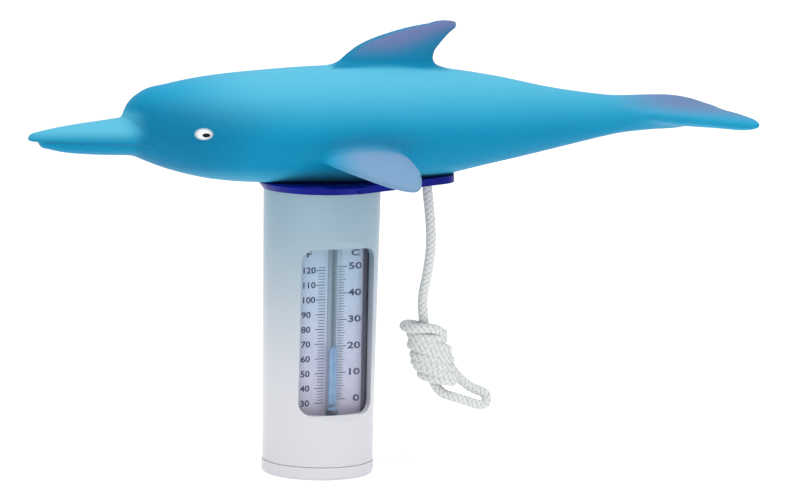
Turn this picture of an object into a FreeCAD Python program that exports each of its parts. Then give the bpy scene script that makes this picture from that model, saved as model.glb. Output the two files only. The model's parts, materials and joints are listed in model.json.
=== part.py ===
import FreeCAD, Part
import math
import os

# Floating pool thermometer: a hollow dolphin float snapped on a collar, a windowed tube that holds
# a sealed thermometer vial, a weighted base, and a tether cord that hangs from the collar's ear.
#
# Millimetres, +Z up.  The origin is the centre of the base's underside.  The beak points along -X
# and the tail along +X.  The window faces -Y, turned by WINDOW_TURN towards +X.

# ---------------------------------------------------------------- driving dimensions
FIT = 0.05                 # radial clearance of parts that turn or push together by hand
GAP = 0.3                  # free space between parts that move past each other

WINDOW_TURN = 8.0          # degrees
WINDOW_BOTTOM = 20.5
WINDOW_HEIGHT = 53.0
WINDOW_WIDTH = 25.0
WINDOW_CORNER_R = 4.0
WINDOW_BEVEL = 1.7
NECK_HEIGHT = 17.5         # solid tube above the window

TUBE_BASE_R = 17.6
TUBE_TOP_R = 18.6
TUBE_BORE_R = 15.6

CAP_HEIGHT = 4.0
CAP_PROUD = 0.2
CAP_FLOOR = 2.0
CAP_EDGE = 1.2
CAP_PLUG_HEIGHT = 6.0
CAP_PLUG_WALL = 1.6
BASE_SEAL_SECTION = 1.3

BALLAST_HEIGHT = 9.0
BALLAST_CHAMFER = 0.6
PAD_THICKNESS = 1.5

VIAL_WALL = 1.2
VIAL_PLAY = 0.3
STOPPER_HEIGHT = 3.0
STEM_R = 2.2
STEM_BORE_R = 0.75
STEM_WALL_PLAY = 0.9       # between the stem's front and the vial's wall
STEM_END_ROOM = 0.5
BULB_GLASS = 0.5
BULB_HEIGHT = 7.0
CARD_THICKNESS = 0.7
CARD_STEM_GAP = 0.1
CLIP_THICKNESS = 0.5
CLIP_HEIGHT = 1.6
CLIP_OFFSET = 1.0          # between the window's edge and each clip

DEGREE_PITCH = 0.85        # millimetres on the scale for each degree Celsius
ZERO_ABOVE_WINDOW_EDGE = 3.9
READING_C = 20.5

FLANGE_THICKNESS = 2.6
FLANGE_FLARE = 1.9
FLANGE_CORNER = 0.5
PLUG_LENGTH = 10.0
PLUG_WALL = 2.0
PLUG_WEB = 1.6
SNAP_HEIGHT = 0.5
SNAP_LENGTH = 1.6
COLLAR_SEAL_SECTION = 1.4
COLLAR_SEAL_DEPTH = 6.5    # below the tube's rim
EAR_X = 34.8
EAR_END_R = 8.6
EAR_THICKNESS = 2.3
EAR_BEND_X = 10.0          # the ear rises out of the flange from here to its end
EAR_RISE = 2.5             # degrees
SPIGOT_R = 6.0
SPIGOT_WALL = 1.4
SPIGOT_HEIGHT = 7.0
NECK_SEAL_WIDTH = 2.5
NECK_SEAL_THICKNESS = 0.8
RETAINER_WIDTH = 3.5
RETAINER_THICKNESS = 1.5
RETAINER_SPLIT = 1.6

SKIN = 2.0                 # wall of the hollow float
BODY_FRONT_X = -65.5
BODY_LENGTH = 177.5
BODY_HEIGHT = 37.4
BODY_WIDTH = 42.0
BODY_SINK = 1.0            # how much of the belly's crown the flat seat takes off

BEAK_LENGTH = 37.0
BEAK_OUT = 29.5            # how far the beak stands out of the forehead
BEAK_HEIGHT = 12.8
BEAK_WIDTH = 22.0
BEAK_LEVEL = 0.39          # height of the mouth line, as a share of the body's height

DORSAL_FRONT_X = 3.6
DORSAL_LENGTH = 40.0
DORSAL_HEIGHT = 13.6
DORSAL_THICKNESS = 9.0

PECTORAL_SPAN = 43.0       # from the middle plane to the tip
PECTORAL_X = 6.0
PECTORAL_CHORD = 30.0
PECTORAL_THICKNESS = 7.2
PECTORAL_Z = 10.2          # root's height above the seat

FLUKE_SPAN = 35.5
FLUKE_CHORD = 28.0
FLUKE_THICKNESS = 9.6

CORD_R = 1.6
CORD_STOP_R = 2.6
CORD_STOP_THICKNESS = 1.0
SWING_DROP = 2.183         # from the ear's underside at the hole to the swing axis

# Route of the cord's hanging stretch: chosen points from the swing axis down to the hank, as
# steps from the swing axis.
CORD_ROUTE = [
    (0.0, 0.0, 0.0),
    (1.2, -0.5, -9.7),
    (1.6, -0.9, -18.7),
    (0.6, -0.4, -27.7),
    (-0.8, 0.3, -35.4),
    (-0.2, 0.0, -42.2),
]

# Outer shape of the hank, level by level: drop below the swing axis, middle's step from it
# towards the tail, half width, half depth.
HANK_LEVELS = [
    (42.2, -0.4, 4.4, 3.4),
    (46.2, -0.6, 6.4, 4.8),
    (51.2, 1.6, 7.2, 5.2),
    (56.2, 2.8, 7.4, 5.4),
    (61.2, 6.0, 7.6, 5.2),
    (65.7, 10.6, 7.8, 4.4),
    (70.2, 17.8, 4.6, 2.6),
]

# ---------------------------------------------------------------- derived places
window_top = WINDOW_BOTTOM + WINDOW_HEIGHT
window_middle = WINDOW_BOTTOM + WINDOW_HEIGHT / 2
tube_top = window_top + NECK_HEIGHT
flange_top = tube_top + FLANGE_THICKNESS

cap_plug_r = TUBE_BORE_R - FIT
cap_plug_top = CAP_HEIGHT + CAP_PLUG_HEIGHT
cup_r = cap_plug_r - CAP_PLUG_WALL
ballast_top = CAP_FLOOR + BALLAST_HEIGHT
vial_bottom = max(ballast_top, cap_plug_top) + PAD_THICKNESS
vial_top = tube_top - PLUG_LENGTH - PAD_THICKNESS
vial_r = TUBE_BORE_R - VIAL_PLAY
vial_bore_r = vial_r - VIAL_WALL
stopper_r = vial_bore_r - FIT

stem_offset = vial_bore_r - STEM_WALL_PLAY - STEM_R
stem_bottom = vial_bottom + STOPPER_HEIGHT + STEM_END_ROOM
stem_top = vial_top - STOPPER_HEIGHT - STEM_END_ROOM
card_front = stem_offset - STEM_R - CARD_STEM_GAP
column_bottom = stem_bottom + BULB_HEIGHT
zero_z = WINDOW_BOTTOM + ZERO_ABOVE_WINDOW_EDGE
column_top = zero_z + READING_C * DEGREE_PITCH

plug_r = TUBE_BORE_R - FIT
plug_bottom = tube_top - PLUG_LENGTH
snap_z = tube_top - PLUG_LENGTH / 4
ear_top = flange_top + (EAR_X - EAR_BEND_X) * math.tan(math.radians(EAR_RISE))
ear_bottom = ear_top - EAR_THICKNESS
ear_slope_drop = CORD_STOP_R * math.tan(math.radians(EAR_RISE))
cord_stop_top = ear_top - ear_slope_drop - GAP + FIT
cord_stop_bottom = cord_stop_top - CORD_STOP_THICKNESS
swing_z = ear_bottom - SWING_DROP

body_bottom = flange_top - BODY_SINK
body_seat = flange_top + FIT
body_tail_x = BODY_FRONT_X + BODY_LENGTH

# Body sections from forehead to tail stock, as shares: way along the length, underside and top
# of the height, half width.
BODY_SECTIONS = [
    (0.000, 0.320, 0.580, 0.22),
    (0.011, 0.270, 0.715, 0.45),
    (0.037, 0.230, 0.780, 0.62),
    (0.087, 0.135, 0.853, 0.81),
    (0.155, 0.060, 0.917, 0.925),
    (0.256, 0.016, 0.965, 0.99),
    (0.369, 0.000, 0.997, 1.00),
    (0.482, 0.005, 1.000, 0.97),
    (0.583, 0.055, 0.973, 0.87),
    (0.679, 0.147, 0.909, 0.715),
    (0.790, 0.257, 0.802, 0.505),
    (0.904, 0.374, 0.727, 0.335),
    (1.000, 0.449, 0.706, 0.285),
]

# Beak sections from the tip: way along, underside and top from the mouth line, half width.
BEAK_SECTIONS = [
    (0.00, -0.12, 0.09, 0.16),
    (0.06, -0.17, 0.16, 0.33),
    (0.18, -0.27, 0.26, 0.49),
    (0.39, -0.34, 0.375, 0.65),
    (0.66, -0.38, 0.48, 0.82),
    (0.93, -0.40, 0.60, 1.00),
]

# Dorsal fin sections from the root up: height, leading and trailing edge, half thickness.
DORSAL_SECTIONS = [
    (-0.30, -0.16, 0.98, 1.00),
    (0.03, 0.00, 0.82, 0.90),
    (0.30, 0.105, 0.815, 0.75),
    (0.52, 0.22, 0.87, 0.62),
    (0.74, 0.42, 0.94, 0.48),
    (0.88, 0.60, 1.00, 0.35),
    (1.00, 0.81, 0.99, 0.18),
]

# Pectoral fin sections from the root out: share of the span, step back, drop, chord, thickness.
PECTORAL_SECTIONS = [
    (0.37, 0.0, 0.0, 1.00, 1.00),
    (0.56, 3.0, 2.2, 0.87, 0.88),
    (0.75, 7.0, 4.8, 0.66, 0.72),
    (0.91, 11.0, 6.8, 0.40, 0.52),
    (1.00, 14.0, 7.6, 0.12, 0.28),
]

# Fluke sections from the middle plane out, in the same order.
FLUKE_SECTIONS = [
    (0.00, 0.0, 0.0, 1.00, 1.00),
    (0.34, 6.0, 0.0, 0.80, 0.84),
    (0.68, 14.0, 0.2, 0.50, 0.58),
    (0.93, 20.0, 0.4, 0.22, 0.36),
    (1.00, 22.0, 0.5, 0.08, 0.20),
]

SECTION_POINTS = 16


# ---------------------------------------------------------------- helpers
def vec(x, y, z):
    return FreeCAD.Vector(x, y, z)


def lathe(profile, x=0.0, y=0.0):
    """Solid of revolution about the vertical line at x, y from (radius, height) points."""
    points = [vec(radius, 0, height) for radius, height in profile]
    face = Part.Face(Part.makePolygon(points + points[:1]))
    solid = face.revolve(vec(0, 0, 0), vec(0, 0, 1), 360)
    solid.translate(vec(x, y, 0))
    return solid


def disc(radius, bottom, top, x=0.0, y=0.0):
    return Part.makeCylinder(radius, top - bottom, vec(x, y, bottom))


def ring(inner, outer, bottom, top, x=0.0, y=0.0):
    return disc(outer, bottom, top, x, y).cut(disc(inner, bottom, top, x, y))


def seal_ring(outer, section, z):
    """Round-section ring whose outside touches a bore of radius outer."""
    return Part.makeTorus(outer - section / 2, section / 2, vec(0, 0, z))


def face_window(solid):
    """Turn a solid that was drawn facing -Y to face the window's way."""
    solid.rotate(vec(0, 0, 0), vec(0, 0, 1), WINDOW_TURN)
    return solid


def oval(centre, across, up, half_across, half_up):
    """Closed smooth oval about centre in the plane of two unit directions."""
    points = []
    for step in range(SECTION_POINTS):
        turn = 2 * math.pi * step / SECTION_POINTS
        offset = across * (half_across * math.cos(turn)) + up * (half_up * math.sin(turn))
        points.append(centre + offset)
    curve = Part.BSplineCurve()
    curve.interpolate(Points=points, PeriodicFlag=True)
    return Part.Wire([curve.toShape()])


def rounded_frame(half_width, half_height, corner, y):
    """Rounded rectangle in a plane of constant y, about the window's middle."""
    box = Part.makeBox(2 * half_width, 1, 2 * half_height,
                       vec(-half_width, y, window_middle - half_height))
    upright = [edge for edge in box.Edges if abs(edge.tangentAt(edge.FirstParameter).y) > 0.9]
    rounded = box.makeFillet(corner, upright)
    near = min(rounded.Faces, key=lambda face: face.CenterOfMass.y)
    return near.OuterWire


# ---------------------------------------------------------------- tube and base
def window_cut():
    """Opening through the front wall, with its edges bevelled outwards."""
    half_width = WINDOW_WIDTH / 2
    half_height = WINDOW_HEIGHT / 2
    front = -TUBE_TOP_R - 1
    wall_inside = GAP / 2 - math.sqrt(TUBE_BORE_R ** 2 - half_width ** 2)
    straight = Part.Face(rounded_frame(half_width, half_height, WINDOW_CORNER_R, front))
    opening = straight.extrude(vec(0, wall_inside - front, 0))
    deep = -TUBE_BASE_R + WINDOW_BEVEL
    spread = deep - front
    outer = rounded_frame(half_width + spread, half_height + spread, WINDOW_CORNER_R + spread, front)
    inner = rounded_frame(half_width, half_height, WINDOW_CORNER_R, deep)
    bevel = Part.makeLoft([outer, inner], True, True)
    return face_window(opening.fuse(bevel))


def make_tube_housing():
    body = lathe([
        (TUBE_BORE_R, CAP_HEIGHT),
        (TUBE_BASE_R - 0.3, CAP_HEIGHT),
        (TUBE_BASE_R, CAP_HEIGHT + 0.3),
        (TUBE_TOP_R, tube_top),
        (TUBE_BORE_R, tube_top),
    ])
    groove = lathe([
        (TUBE_BORE_R - 1, snap_z - SNAP_LENGTH / 2 - GAP),
        (TUBE_BORE_R, snap_z - SNAP_LENGTH / 2 - GAP),
        (TUBE_BORE_R + SNAP_HEIGHT + FIT, snap_z - GAP),
        (TUBE_BORE_R + SNAP_HEIGHT + FIT, snap_z + GAP),
        (TUBE_BORE_R, snap_z + SNAP_LENGTH / 2 + GAP),
        (TUBE_BORE_R - 1, snap_z + SNAP_LENGTH / 2 + GAP),
    ])
    return body.cut(groove).cut(window_cut())


def make_base_cap():
    outer_r = TUBE_BASE_R + CAP_PROUD
    rim = disc(outer_r, 0, CAP_HEIGHT)
    bottom_edges = [edge for edge in rim.Edges if edge.BoundBox.ZMax < 0.01]
    rim = rim.makeFillet(CAP_EDGE, bottom_edges)
    plug = disc(cap_plug_r, CAP_HEIGHT, cap_plug_top)
    seal_z = (CAP_HEIGHT + cap_plug_top) / 2
    groove = ring(cap_plug_r - BASE_SEAL_SECTION, TUBE_BORE_R + 1,
                  seal_z - BASE_SEAL_SECTION / 2 - FIT, seal_z + BASE_SEAL_SECTION / 2 + FIT)
    cup = disc(cup_r, CAP_FLOOR, cap_plug_top)
    return rim.fuse(plug).removeSplitter().cut(groove).cut(cup)


def make_base_seal():
    return seal_ring(cap_plug_r, BASE_SEAL_SECTION, (CAP_HEIGHT + cap_plug_top) / 2)


def make_ballast_weight():
    radius = cup_r - FIT
    return lathe([
        (0, CAP_FLOOR),
        (radius - BALLAST_CHAMFER, CAP_FLOOR),
        (radius, CAP_FLOOR + BALLAST_CHAMFER),
        (radius, ballast_top - BALLAST_CHAMFER),
        (radius - BALLAST_CHAMFER, ballast_top),
        (0, ballast_top),
    ])


def make_ballast_pad():
    return disc(TUBE_BORE_R - FIT, vial_bottom - PAD_THICKNESS, vial_bottom)


# ---------------------------------------------------------------- vial and thermometer
def make_vial_tube():
    return ring(vial_bore_r, vial_r, vial_bottom, vial_top)


def make_vial_stopper(bottom):
    return disc(stopper_r, bottom, bottom + STOPPER_HEIGHT)


def make_vial_pad():
    return disc(TUBE_BORE_R - GAP, vial_top, vial_top + PAD_THICKNESS - FIT)


def clip_bottoms():
    return (WINDOW_BOTTOM - CLIP_OFFSET - CLIP_HEIGHT, window_top + CLIP_OFFSET)


def make_stem_clip(bottom):
    inner = STEM_R + FIT
    clip = ring(inner, inner + CLIP_THICKNESS, bottom, bottom + CLIP_HEIGHT, 0, -stem_offset)
    return face_window(clip)


def make_scale_card():
    half_width = math.sqrt(vial_bore_r ** 2 - card_front ** 2) - GAP
    bottom = vial_bottom + STOPPER_HEIGHT
    card = Part.makeBox(2 * half_width, CARD_THICKNESS, vial_top - STOPPER_HEIGHT - bottom,
                        vec(-half_width, -card_front, bottom))
    for clip_bottom in clip_bottoms():
        slot_r = STEM_R + CLIP_THICKNESS + 2 * FIT
        slot = disc(slot_r, clip_bottom - FIT, clip_bottom + CLIP_HEIGHT + FIT, 0, -stem_offset)
        card = card.cut(slot)
    return face_window(card)


def round_end(radius, bottom):
    """Half outline of a stem's round lower end, from its middle out to its side."""
    profile = [(0, bottom)]
    for step in range(1, 4):
        turn = math.pi / 2 * step / 3
        profile.append((radius * math.sin(turn), bottom + radius * (1 - math.cos(turn))))
    return profile


def make_glass_stem():
    outline = round_end(STEM_R, stem_bottom)
    outline += [(STEM_R, stem_top - 0.5), (STEM_R - 0.5, stem_top), (0, stem_top)]
    stem = lathe(outline, 0, -stem_offset)
    bore = disc(STEM_BORE_R, column_bottom - 0.5, stem_top - 2.0, 0, -stem_offset)
    return face_window(stem.cut(bore).cut(bulb_hollow()))


def bulb_hollow():
    inner_r = STEM_R - BULB_GLASS
    top = column_bottom - BULB_GLASS
    inner = round_end(inner_r, stem_bottom + BULB_GLASS)
    inner += [(inner_r, top - 1.0), (STEM_BORE_R, top), (0, top)]
    return lathe(inner, 0, -stem_offset)


def make_bulb_spirit():
    return face_window(bulb_hollow())


def make_spirit_column():
    return face_window(disc(STEM_BORE_R - FIT, column_bottom, column_top, 0, -stem_offset))


# ---------------------------------------------------------------- collar
def ear_plate(grow):
    """Tongue that runs tangentially from the flange to a round end about the cord hole.

    The ear itself has no grow.  The relief for it in the float's belly is grown by a clearance.
    """
    root_r = TUBE_TOP_R + FLANGE_FLARE - FLANGE_CORNER
    bottom = flange_top - EAR_THICKNESS
    lean = math.asin((root_r - EAR_END_R) / EAR_X)

    def tangent_point(middle, radius, side):
        reach = radius + grow
        return vec(middle + reach * math.sin(lean), side * reach * math.cos(lean), bottom)

    near_root = tangent_point(0, root_r, -1)
    near_end = tangent_point(EAR_X, EAR_END_R, -1)
    far_end = tangent_point(EAR_X, EAR_END_R, 1)
    far_root = tangent_point(0, root_r, 1)
    tip = vec(EAR_X + EAR_END_R + grow, 0, bottom)
    outline = Part.Wire([
        Part.LineSegment(near_root, near_end).toShape(),
        Part.Arc(near_end, tip, far_end).toShape(),
        Part.LineSegment(far_end, far_root).toShape(),
        Part.LineSegment(far_root, near_root).toShape(),
    ])
    plate = Part.Face(outline).extrude(vec(0, 0, EAR_THICKNESS + grow))
    plate.rotate(vec(EAR_BEND_X, 0, flange_top), vec(0, 1, 0), -EAR_RISE)
    return plate


def make_collar():
    rim_r = TUBE_TOP_R + FLANGE_FLARE
    flange = lathe([
        (0, plug_bottom),
        (plug_r - 0.6, plug_bottom),
        (plug_r, plug_bottom + 0.6),
        (plug_r, snap_z - SNAP_LENGTH / 2),
        (plug_r + SNAP_HEIGHT, snap_z),
        (plug_r, snap_z + SNAP_LENGTH / 2),
        (plug_r, tube_top + FIT),
        (TUBE_TOP_R + 0.3, tube_top + FIT),
        (rim_r, flange_top - FLANGE_CORNER),
        (rim_r - FLANGE_CORNER, flange_top),
        (0, flange_top),
    ])
    spigot = disc(SPIGOT_R, flange_top, flange_top + SPIGOT_HEIGHT)
    collar = flange.fuse([ear_plate(0), spigot])
    collar = collar.cut(disc(plug_r - PLUG_WALL, plug_bottom, tube_top - PLUG_WEB))
    collar = collar.cut(disc(SPIGOT_R - SPIGOT_WALL, flange_top, flange_top + SPIGOT_HEIGHT))
    collar = collar.cut(ring(SPIGOT_R, SPIGOT_R + NECK_SEAL_WIDTH + FIT,
                             flange_top - NECK_SEAL_THICKNESS, flange_top))
    seal_z = tube_top - COLLAR_SEAL_DEPTH
    collar = collar.cut(ring(plug_r - COLLAR_SEAL_SECTION, plug_r + SNAP_HEIGHT + 1,
                             seal_z - COLLAR_SEAL_SECTION / 2 - FIT,
                             seal_z + COLLAR_SEAL_SECTION / 2 + FIT))
    collar = collar.cut(disc(CORD_R + 2 * FIT, ear_bottom - 1, ear_top, EAR_X, 0))
    return collar.cut(disc(CORD_STOP_R + 2 * FIT, cord_stop_bottom - FIT, ear_top + 1, EAR_X, 0))


def make_collar_o_ring():
    return seal_ring(plug_r, COLLAR_SEAL_SECTION, tube_top - COLLAR_SEAL_DEPTH)


def make_neck_seal():
    return ring(SPIGOT_R + FIT, SPIGOT_R + NECK_SEAL_WIDTH,
                flange_top - NECK_SEAL_THICKNESS, flange_top)


def make_retaining_ring():
    """Split ring pushed down the spigot inside the float, on the belly's inner wall."""
    outer = SPIGOT_R + FIT + RETAINER_WIDTH
    inner_half_width = BODY_WIDTH / 2 - SKIN
    inner_half_height = BODY_HEIGHT / 2 - SKIN
    rise = inner_half_height * (1 - math.sqrt(1 - (outer / inner_half_width) ** 2))
    bottom = body_bottom + SKIN + rise + FIT
    whole = ring(SPIGOT_R + FIT, outer, bottom, bottom + RETAINER_THICKNESS)
    split = Part.makeBox(outer + 1, RETAINER_SPLIT, RETAINER_THICKNESS,
                         vec(0, -RETAINER_SPLIT / 2, bottom))
    return whole.cut(split)


# ---------------------------------------------------------------- float
def body_solid(sections, inset):
    """Body lofted from its sections, drawn in by inset all round."""
    wires = []
    for along, low, high, wide in sections:
        x = BODY_FRONT_X + inset + along * (BODY_LENGTH - 2 * inset)
        bottom = body_bottom + low * BODY_HEIGHT + inset
        top = body_bottom + high * BODY_HEIGHT - inset
        wires.append(oval(vec(x, 0, (bottom + top) / 2), vec(0, 1, 0), vec(0, 0, 1),
                          wide * BODY_WIDTH / 2 - inset, (top - bottom) / 2))
    return Part.makeLoft(wires, True, False)


def beak_solid():
    mouth_z = body_bottom + BEAK_LEVEL * BODY_HEIGHT
    tip_x = BODY_FRONT_X - BEAK_OUT
    wires = []
    for along, low, high, wide in BEAK_SECTIONS:
        centre = vec(tip_x + along * BEAK_LENGTH, 0, mouth_z + (low + high) / 2 * BEAK_HEIGHT)
        wires.append(oval(centre, vec(0, 1, 0), vec(0, 0, 1),
                          wide * BEAK_WIDTH / 2, (high - low) / 2 * BEAK_HEIGHT))
    return Part.makeLoft(wires, True, False)


def dorsal_solid():
    root_z = body_bottom + BODY_HEIGHT
    wires = []
    for up, lead, trail, thick in DORSAL_SECTIONS:
        centre = vec(DORSAL_FRONT_X + (lead + trail) / 2 * DORSAL_LENGTH, 0,
                     root_z + up * DORSAL_HEIGHT)
        wires.append(oval(centre, vec(1, 0, 0), vec(0, 1, 0),
                          (trail - lead) / 2 * DORSAL_LENGTH, thick * DORSAL_THICKNESS / 2))
    return Part.makeLoft(wires, True, False)


def fin_wires(sections, side, span, x, z, chord, thickness):
    """Fin sections outwards from the middle plane, to +Y for side 1 or -Y for side -1."""
    wires = []
    for out, back, drop, wide, thick in sections:
        centre = vec(x + back, side * out * span, z - drop)
        wires.append(oval(centre, vec(1, 0, 0), vec(0, 0, 1), wide * chord / 2,
                          thick * thickness / 2))
    return wires


def pectoral_solid(side):
    wires = fin_wires(PECTORAL_SECTIONS, side, PECTORAL_SPAN, PECTORAL_X,
                      flange_top + PECTORAL_Z, PECTORAL_CHORD, PECTORAL_THICKNESS)
    return Part.makeLoft(wires, True, False)


def fluke_solid():
    """Both flukes in one loft, from tip to tip."""
    tail_low, tail_high = BODY_SECTIONS[-1][1:3]
    root_z = body_bottom + (tail_low + tail_high) / 2 * BODY_HEIGHT
    place = (FLUKE_SPAN, body_tail_x, root_z, FLUKE_CHORD, FLUKE_THICKNESS)
    near = fin_wires(FLUKE_SECTIONS[1:], -1, *place)
    far = fin_wires(FLUKE_SECTIONS, 1, *place)
    return Part.makeLoft(near[::-1] + far, True, False)


def make_dolphin_shell():
    outer = body_solid(BODY_SECTIONS, 0)
    limbs = [beak_solid(), dorsal_solid(), pectoral_solid(1), pectoral_solid(-1), fluke_solid()]
    outer = outer.fuse(limbs)
    below_seat = Part.makeBox(BODY_LENGTH, BODY_WIDTH, BODY_SINK + 1,
                              vec(-BODY_LENGTH / 2, -BODY_WIDTH / 2, body_seat - BODY_SINK - 1))
    hole = disc(SPIGOT_R + FIT, body_seat - 1, flange_top + BODY_HEIGHT / 2)
    hollow = body_solid(BODY_SECTIONS[:-1], SKIN)
    return outer.cut(below_seat).cut(ear_plate(FIT)).cut(hollow).cut(hole)


# ---------------------------------------------------------------- tether
def make_cord_stop():
    """Melted end of the cord: a button in the ear's recess, with the stub that passes the hole."""
    button = disc(CORD_STOP_R, cord_stop_bottom, cord_stop_top, EAR_X, 0)
    stub = disc(CORD_R, ear_bottom + ear_slope_drop, cord_stop_bottom, EAR_X, 0)
    return button.fuse(stub)


def route_wire(points):
    """Straight runs joined by tangent arcs, each as large as its two runs allow."""
    corners = [vec(EAR_X, 0, swing_z) + vec(*step) for step in points]
    edges = []
    start = corners[0]
    length = 0.0
    for before, here, after in zip(corners, corners[1:], corners[2:]):
        back = before - here
        ahead = after - here
        reach = 0.45 * min(back.Length, ahead.Length)
        half_turn = (math.pi - back.getAngle(ahead)) / 2
        radius = reach / math.tan(half_turn)
        back.normalize()
        ahead.normalize()
        enter = here + back * reach
        leave = here + ahead * reach
        inward = back + ahead
        inward.normalize()
        middle = here + inward * (radius / math.cos(half_turn) - radius)
        edges.append(Part.LineSegment(start, enter).toShape())
        edges.append(Part.Arc(enter, middle, leave).toShape())
        length += (enter - start).Length + 2 * half_turn * radius
        print("cord bend radius %.1f mm, turn %.1f degrees" % (radius, math.degrees(2 * half_turn)))
        start = leave
    edges.append(Part.LineSegment(start, corners[-1]).toShape())
    length += (corners[-1] - start).Length
    return Part.Wire(edges), length


def make_tether_cord():
    path, length = route_wire(CORD_ROUTE)
    start = vec(EAR_X, 0, swing_z)
    section = Part.Wire([Part.makeCircle(CORD_R, start, vec(*CORD_ROUTE[1]))])
    tube = path.makePipeShell([section], True, False)
    print("cord tube %.1f mm, volume %.1f mm3, section times length %.1f mm3"
          % (length, tube.Volume, math.pi * CORD_R ** 2 * length))
    return tube.fuse(Part.makeSphere(CORD_R, start))


def make_cord_hank():
    wires = []
    for drop, step, half_width, half_depth in HANK_LEVELS:
        centre = vec(EAR_X + step, 0, swing_z - drop)
        wires.append(oval(centre, vec(1, 0, 0), vec(0, 1, 0), half_width, half_depth))
    return Part.makeLoft(wires, True, False)


# ---------------------------------------------------------------- output
def all_parts():
    lower_clip, upper_clip = clip_bottoms()
    return {
        "tube_housing": make_tube_housing(),
        "base_cap": make_base_cap(),
        "base_seal": make_base_seal(),
        "ballast_weight": make_ballast_weight(),
        "ballast_pad": make_ballast_pad(),
        "vial_tube": make_vial_tube(),
        "vial_stopper_lower": make_vial_stopper(vial_bottom),
        "vial_stopper_upper": make_vial_stopper(vial_top - STOPPER_HEIGHT),
        "vial_pad": make_vial_pad(),
        "scale_card": make_scale_card(),
        "glass_stem": make_glass_stem(),
        "bulb_spirit": make_bulb_spirit(),
        "spirit_column": make_spirit_column(),
        "stem_clip_lower": make_stem_clip(lower_clip),
        "stem_clip_upper": make_stem_clip(upper_clip),
        "collar": make_collar(),
        "collar_o_ring": make_collar_o_ring(),
        "neck_seal": make_neck_seal(),
        "retaining_ring": make_retaining_ring(),
        "dolphin_shell": make_dolphin_shell(),
        "cord_stop": make_cord_stop(),
        "tether_cord": make_tether_cord(),
        "cord_hank": make_cord_hank(),
    }


def main():
    os.makedirs("parts", exist_ok=True)
    for name, shape in all_parts().items():
        shape.exportStep("parts/%s.step" % name)
        print("%s: valid %s, solids %d, volume %.1f mm3"
              % (name, shape.isValid(), len(shape.Solids), shape.Volume))


main()
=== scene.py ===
import json
import math

import bpy
import numpy as np
import openvdb
from mathutils import Matrix, Vector
from mathutils.bvhtree import BVHTree


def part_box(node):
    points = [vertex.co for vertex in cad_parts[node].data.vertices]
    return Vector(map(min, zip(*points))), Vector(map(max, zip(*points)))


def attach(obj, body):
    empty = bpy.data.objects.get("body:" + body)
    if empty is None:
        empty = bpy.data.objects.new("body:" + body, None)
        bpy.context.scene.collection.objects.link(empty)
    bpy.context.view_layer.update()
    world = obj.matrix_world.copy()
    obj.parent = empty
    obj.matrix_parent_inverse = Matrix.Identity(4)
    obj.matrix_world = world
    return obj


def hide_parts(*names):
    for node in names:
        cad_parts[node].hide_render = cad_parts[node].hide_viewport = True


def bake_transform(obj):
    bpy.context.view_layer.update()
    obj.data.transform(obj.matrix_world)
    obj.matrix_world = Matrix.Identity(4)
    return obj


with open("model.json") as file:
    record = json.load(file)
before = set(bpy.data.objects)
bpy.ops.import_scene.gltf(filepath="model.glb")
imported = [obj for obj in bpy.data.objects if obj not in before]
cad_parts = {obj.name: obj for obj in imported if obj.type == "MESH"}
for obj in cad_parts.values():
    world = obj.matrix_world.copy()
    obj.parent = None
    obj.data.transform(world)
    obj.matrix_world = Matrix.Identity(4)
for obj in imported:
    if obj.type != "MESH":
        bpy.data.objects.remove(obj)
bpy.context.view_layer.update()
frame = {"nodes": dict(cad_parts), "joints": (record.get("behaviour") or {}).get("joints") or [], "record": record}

# The looks of the floating pool thermometer.  Lengths are chosen in millimetres, except in the
# finishes, the stage and the lights, and they are in metres once they are in a mesh.  The axes are
# the frame's: +Z up, the beak points along -X, the window faces -Y.
MM = 0.001


# ---------------------------------------------------------------- small helpers
def linear(red, green, blue):
    """Linear colour from display values of 0 to 255."""
    values = []
    for value in (red, green, blue):
        share = value / 255
        values.append(share / 12.92 if share <= 0.04045 else ((share + 0.055) / 1.055) ** 2.4)
    return (*values, 1.0)


def mesh_object(name, points, faces, smooth=True):
    """Object with a new mesh from points in metres."""
    mesh = bpy.data.meshes.new(name)
    mesh.from_pydata([tuple(p) for p in points], [], [tuple(f) for f in faces])
    mesh.update()
    mesh.polygons.foreach_set("use_smooth", [smooth] * len(mesh.polygons))
    piece = bpy.data.objects.new(name, mesh)
    bpy.context.scene.collection.objects.link(piece)
    return piece


def point_attribute(piece, name, values):
    attribute = piece.data.attributes.new(name, "FLOAT", "POINT")
    attribute.data.foreach_set("value", np.asarray(values, np.float32))


def ring_faces(rings, sides, first=0):
    """Faces between rings of points, which are numbered ring by ring from first."""
    faces = []
    for ring in range(rings - 1):
        near = first + ring * sides
        far = near + sides
        for side in range(sides):
            after = (side + 1) % sides
            faces.append((near + side, far + side, far + after, near + after))
    return faces


def smoothstep(low, high, value):
    """Share from 0 to 1 as value goes from low to high; low may be the greater one."""
    share = np.clip((value - low) / (high - low), 0, 1)
    return share * share * (3 - 2 * share)


def through_stations(places, stations, column):
    """Smooth curve through one column of a station table, at an array of places."""
    xs = np.array([row[0] for row in stations], float)
    ys = np.array([row[column] for row in stations], float)
    slopes = np.gradient(ys, xs)
    place = np.clip(places, xs[0], xs[-1])
    cell = np.clip(np.searchsorted(xs, place) - 1, 0, len(xs) - 2)
    width = xs[cell + 1] - xs[cell]
    t = (place - xs[cell]) / width
    return ((2 * t ** 3 - 3 * t ** 2 + 1) * ys[cell] + (t ** 3 - 2 * t ** 2 + t) * width * slopes[cell]
            + (3 * t ** 2 - 2 * t ** 3) * ys[cell + 1] + (t ** 3 - t ** 2) * width * slopes[cell + 1])


# ---------------------------------------------------------------- frame's own places, in millimetres
def box_mm(node):
    low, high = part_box(node)
    return np.array(low) / MM, np.array(high) / MM


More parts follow.
